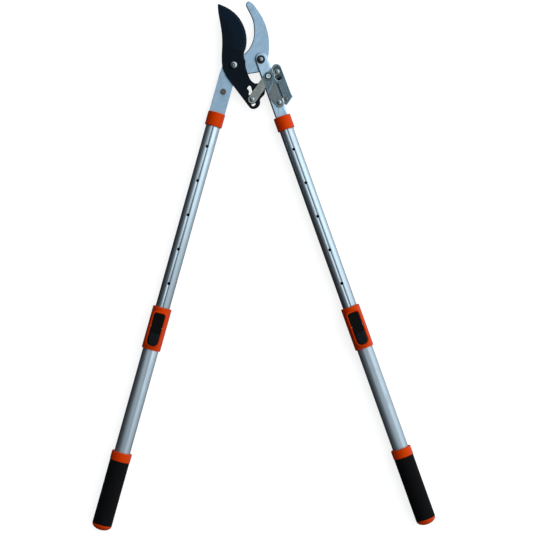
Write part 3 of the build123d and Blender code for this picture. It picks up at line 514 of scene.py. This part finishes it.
def soften(node, width):
    """Rounds a CAD node's sharp rims with modifiers; its mesh stays as packed."""
    weld = node.modifiers.new("weld", "WELD")
    weld.merge_threshold = 1e-6
    bevel = node.modifiers.new("bevel", "BEVEL")
    bevel.width = width
    bevel.segments = 2
    bevel.limit_method = "ANGLE"
    bevel.angle_limit = SHARP
    bevel.use_clamp_overlap = False
    bevel.miter_outer = "MITER_ARC"
    bevel.loop_slide = False
    bevel.harden_normals = True


def smooth_piece(name, points, faces):
    """A new object in the scene, shaded smooth."""
    mesh = bpy.data.meshes.new(name)
    mesh.from_pydata(points, [], faces)
    mesh.validate()
    mesh.shade_smooth()
    piece = bpy.data.objects.new(name, mesh)
    bpy.context.scene.collection.objects.link(piece)
    return piece


def lathe(name, profile, matrix):
    """A closed ring of (along, radius) points turned round the -Y axis of the matrix."""
    points = []
    for along, radius in profile:
        for angle in np.linspace(0, 2 * math.pi, AROUND, endpoint=False):
            points.append(matrix @ Vector((radius * math.sin(angle), -along, radius * math.cos(angle))))
    faces = []
    for row in range(len(profile)):
        below = (row + 1) % len(profile)
        for step in range(AROUND):
            after = (step + 1) % AROUND
            faces.append((row * AROUND + step, row * AROUND + after,
                          below * AROUND + after, below * AROUND + step))
    return smooth_piece(name, points, faces)


GRIP_BORE = 15.05 * MM
GROOVE_DEPTH = 1.4 * MM
GROOVE_STEPS = 6
GRIP_RINGS = 120
FOAM_DIP = 0.12 * MM
foam_material = foam()


def foam_grip(side):
    """A foam sleeve, drawn in very slightly between its ends, with a V groove round each end face."""
    mount = MOUNTS[side + "_grip"]
    radius = mount["dims"]["r_mm"] * MM
    half = mount["dims"]["length_mm"] * MM / 2
    groove = []
    for step in range(GROOVE_STEPS + 1):
        groove.append(GROOVE_DEPTH * (1 - math.sin(math.pi / 2 * step / GROOVE_STEPS)))
    profile = [(inset - half, radius - inset) for inset in groove]
    for step in range(1, GRIP_RINGS):
        share = step / GRIP_RINGS
        along = (half - GROOVE_DEPTH) * (2 * share - 1)
        profile.append((along, radius - FOAM_DIP * math.sin(math.pi * share)))
    profile += [(half - inset, radius - inset) for inset in reversed(groove)]
    profile += [(half, GRIP_BORE), (-half, GRIP_BORE)]
    piece = lathe(side + "_foam_grip", profile, handle_matrix(side))
    paint(piece, foam_material)
    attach(piece, side + "_lower")
    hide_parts(side + "_grip")


for side in SIDES:
    foam_grip(side)


WIRE_SIDES = 10
TURN_STEPS = 32


def coil(name, matrix, radius, wire, turns, length, finish, lead=((), ())):
    """A round wire wound up the matrix's Z axis; lead gives the wire's path beyond each end."""
    path = list(lead[0])
    for step in range(turns * TURN_STEPS + 1):
        angle = 2 * math.pi * step / TURN_STEPS
        rise = length * step / (turns * TURN_STEPS)
        path.append(Vector((radius * math.cos(angle), radius * math.sin(angle), rise)))
    path += lead[1]
    points = []
    side = None
    for index, place in enumerate(path):
        ahead = (path[min(index + 1, len(path) - 1)] - path[max(index - 1, 0)]).normalized()
        side = ahead.orthogonal() if side is None else side - ahead * side.dot(ahead)
        side.normalize()
        up = ahead.cross(side)
        for step in range(WIRE_SIDES):
            angle = 2 * math.pi * step / WIRE_SIDES
            points.append(matrix @ (place + wire * (math.cos(angle) * side + math.sin(angle) * up)))
    first, last = range(WIRE_SIDES), range(len(points) - WIRE_SIDES, len(points))
    faces = [tuple(reversed(first)), tuple(last)]
    for row in range(len(path) - 1):
        near, far = row * WIRE_SIDES, (row + 1) * WIRE_SIDES
        for step in range(WIRE_SIDES):
            after = (step + 1) % WIRE_SIDES
            faces.append((near + step, near + after, far + after, far + step))
    piece = smooth_piece(name, points, faces)
    paint(piece, finish)
    return piece


LOCK_WIRE = 0.3 * MM
LOCK_TURNS = 4


def lock_spring(side):
    """The compression spring under a lever's pad."""
    node = side + "_lock_spring"
    low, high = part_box(node)
    radius = (high.x - low.x) / 2 - LOCK_WIRE
    base = Vector(((low.x + high.x) / 2, (low.y + high.y) / 2, low.z + LOCK_WIRE))
    piece = coil(side + "_lever_spring", Matrix.Translation(base), radius, LOCK_WIRE, LOCK_TURNS,
                 high.z - low.z - 2 * LOCK_WIRE, spring_steel)
    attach(piece, side + "_lower")
    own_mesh(piece)
    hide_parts(node)


TENSION_WIRE = 0.6 * MM
TENSION_R = 3.5 * MM
TENSION_TURNS = 21
TENSION_EYE = 3.55 * MM              # from a pin's axis to the wire's middle
TENSION_END = 9.5 * MM               # from a pin's axis to the first turn
EYE_SWEEP = math.radians(300.0)
EYE_STEPS = 21


def tension_spring():
    """The links' return spring, hooked on the anchor post and on the spring pin."""
    start, end = centre_of("spring_anchor"), centre_of("spring_pin")
    low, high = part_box("ratchet_spring")
    start.z = end.z = (low.z + high.z) / 2
    along = (end - start).normalized()
    reach = (end - start).length
    up = Vector((0, 0, 1))
    matrix = Matrix((up, -along.cross(up), along)).transposed().to_4x4()
    matrix.translation = start
    length = reach - 2 * TENSION_END
    lead_in, lead_out = [], []
    for step in range(EYE_STEPS + 1):
        angle = EYE_SWEEP * (step / EYE_STEPS - 1) + math.pi / 2
        hook = Vector((0, TENSION_EYE * math.cos(angle), TENSION_EYE * math.sin(angle)))
        lead_in.append(hook - Vector((0, 0, TENSION_END)))
        lead_out.append(Vector((0, -hook.y, length + TENSION_END - hook.z)))
    for share in (0.35, 0.7):
        height = -(TENSION_END - TENSION_EYE) * (1 - share)
        lead_in.append(Vector((TENSION_R * share ** 3, 0, height)))
        lead_out.append(Vector((TENSION_R * share ** 3, 0, length - height)))
    lead_out.reverse()
    turns_up = Matrix.Translation((0, 0, TENSION_END))
    piece = coil("ratchet_return_spring", matrix @ turns_up, TENSION_R, TENSION_WIRE, TENSION_TURNS,
                 length, oiled_steel, (lead_in, lead_out))
    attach(piece, "arm")
    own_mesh(piece)
    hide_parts("ratchet_spring")


for side in SIDES:
    lock_spring(side)
tension_spring()

GROUND_PARTS = ("hook_plate", "cutting_blade", "arm_tang", "spacer_plate_front", "spacer_plate_rear")
PRESSED_PARTS = ("drive_link_front", "drive_link_rear", "ratchet_plate_front", "ratchet_plate_rear")
HANDLE_PARTS = ("inner_tube", "outer_tube", "lock_housing", "lock_lever", "collar", "grip_ring", "end_cap")
for name in GROUND_PARTS:
    soften(NODES[name], GROUND_RIM)
for name in PRESSED_PARTS:
    soften(NODES[name], PRESSED_RIM)
for name in BOLTS:
    soften(NODES[name], SMALL_RIM)
for side in SIDES:
    for part in HANDLE_PARTS:
        soften(NODES[f"{side}_{part}"], SMALL_RIM)


# ---- stage ---------------------------------------------------------------------------
FLOOR_SIZE = 14.0
FLOOR_COLOUR = (0.40, 0.40, 0.40, 1)
FLOOR_LIFT = 0.78                    # the floor's own glow, so that it stays pale
BACKDROP = (0.93, 0.93, 0.93, 1)
SKY_AXIS = Vector((0.80, 0.38, 0.46)).normalized()
SKY = ((-1.0, 0.02), (-0.66, 0.05), (-0.35, 0.12), (0.05, 0.33), (0.27, 0.62), (0.46, 0.84),
       (0.75, 1.35), (1.0, 1.9))     # brightness by how far a direction leans to the sky's bright side
SKY_TINT = (0.95, 0.98, 1.0)


def make_floor():
    """A plain pale floor, which neither lights the object nor shows in its metal."""
    mesh = bpy.data.meshes.new("floor")
    half = FLOOR_SIZE / 2
    corners = [(-half, -half, 0), (half, -half, 0), (half, half, 0), (-half, half, 0)]
    mesh.from_pydata(corners, [], [(0, 1, 2, 3)])
    floor = bpy.data.objects.new("floor", mesh)
    bpy.context.scene.collection.objects.link(floor)
    tree = Tree("floor_paper")
    grain = tree.grain([1.5 * MM] * 3, detail=2.0)
    tree.set(Base_Color=FLOOR_COLOUR, Roughness=0.9, Specular_IOR_Level=0.0,
             Normal=tree.bump(grain, 0.02 * MM), Emission_Color=(1, 1, 1, 1), Emission_Strength=FLOOR_LIFT)
    mesh.materials.append(tree.material)
    floor.visible_diffuse = False
    floor.visible_glossy = False


def make_world():
    """A studio sky: dark to the left, bright to the upper right, and plain where the camera sees it."""
    world = bpy.data.worlds.new("studio")
    bpy.context.scene.world = world
    world.use_nodes = True
    nodes, links = world.node_tree.nodes, world.node_tree.links
    nodes.clear()
    direction = nodes.new("ShaderNodeTexCoord").outputs["Generated"]
    lean = nodes.new("ShaderNodeVectorMath")
    lean.operation = "DOT_PRODUCT"
    lean.inputs[1].default_value = SKY_AXIS
    links.new(direction, lean.inputs[0])
    share = nodes.new("ShaderNodeMapRange")
    share.inputs["From Min"].default_value = -1.0
    links.new(lean.outputs["Value"], share.inputs["Value"])
    curve = nodes.new("ShaderNodeFloatCurve")
    top = SKY[-1][1]
    points = curve.mapping.curves[0].points
    while len(points) < len(SKY):
        points.new(0.5, 0.5)
    for point, (place, brightness) in zip(points, SKY):
        point.location = ((place + 1) / 2, brightness / top)
    curve.mapping.update()
    links.new(share.outputs[0], curve.inputs["Value"])
    sky = nodes.new("ShaderNodeBackground")
    sky.inputs["Color"].default_value = (*SKY_TINT, 1)
    strength = nodes.new("ShaderNodeMath")
    strength.operation = "MULTIPLY"
    strength.inputs[1].default_value = top
    links.new(curve.outputs[0], strength.inputs[0])
    links.new(strength.outputs[0], sky.inputs["Strength"])
    plain = nodes.new("ShaderNodeBackground")
    plain.inputs["Color"].default_value = BACKDROP
    rays = nodes.new("ShaderNodeLightPath")
    either = nodes.new("ShaderNodeMixShader")
    links.new(rays.outputs["Is Camera Ray"], either.inputs[0])
    links.new(sky.outputs[0], either.inputs[1])
    links.new(plain.outputs[0], either.inputs[2])
    output = nodes.new("ShaderNodeOutputWorld")
    links.new(either.outputs[0], output.inputs["Surface"])


KEY_PLACE = Vector((1.0, 0.9, 1.2))
KEY_TARGET = Vector((0.0, 0.2, 0.0))
KEY_SIZE = 2.4
KEY_POWER = 9.0


def make_softbox():
    """The key light, from the upper right."""
    light = bpy.data.lights.new("key", "AREA")
    light.shape = "SQUARE"
    light.size = KEY_SIZE
    light.energy = KEY_POWER
    lamp = bpy.data.objects.new("key", light)
    lamp.location = KEY_PLACE
    lamp.rotation_mode = "QUATERNION"
    lamp.rotation_quaternion = (KEY_TARGET - KEY_PLACE).to_track_quat("-Z", "Y")
    bpy.context.scene.collection.objects.link(lamp)


CAMERA_PLACE = (0.0051, -0.0014, 3.02)
CAMERA_LENS = 108.3
CAMERA_REACH = 100.0


def make_camera():
    """Looks straight down at the tool, with the blade end up."""
    data = bpy.data.cameras.new("camera")
    data.lens = CAMERA_LENS
    data.clip_end = CAMERA_REACH
    camera = bpy.data.objects.new("camera", data)
    camera.location = CAMERA_PLACE
    bpy.context.scene.collection.objects.link(camera)
    bpy.context.scene.camera = camera


make_floor()
make_world()
make_softbox()
make_camera()
bpy.context.scene.view_settings.view_transform = "Standard"
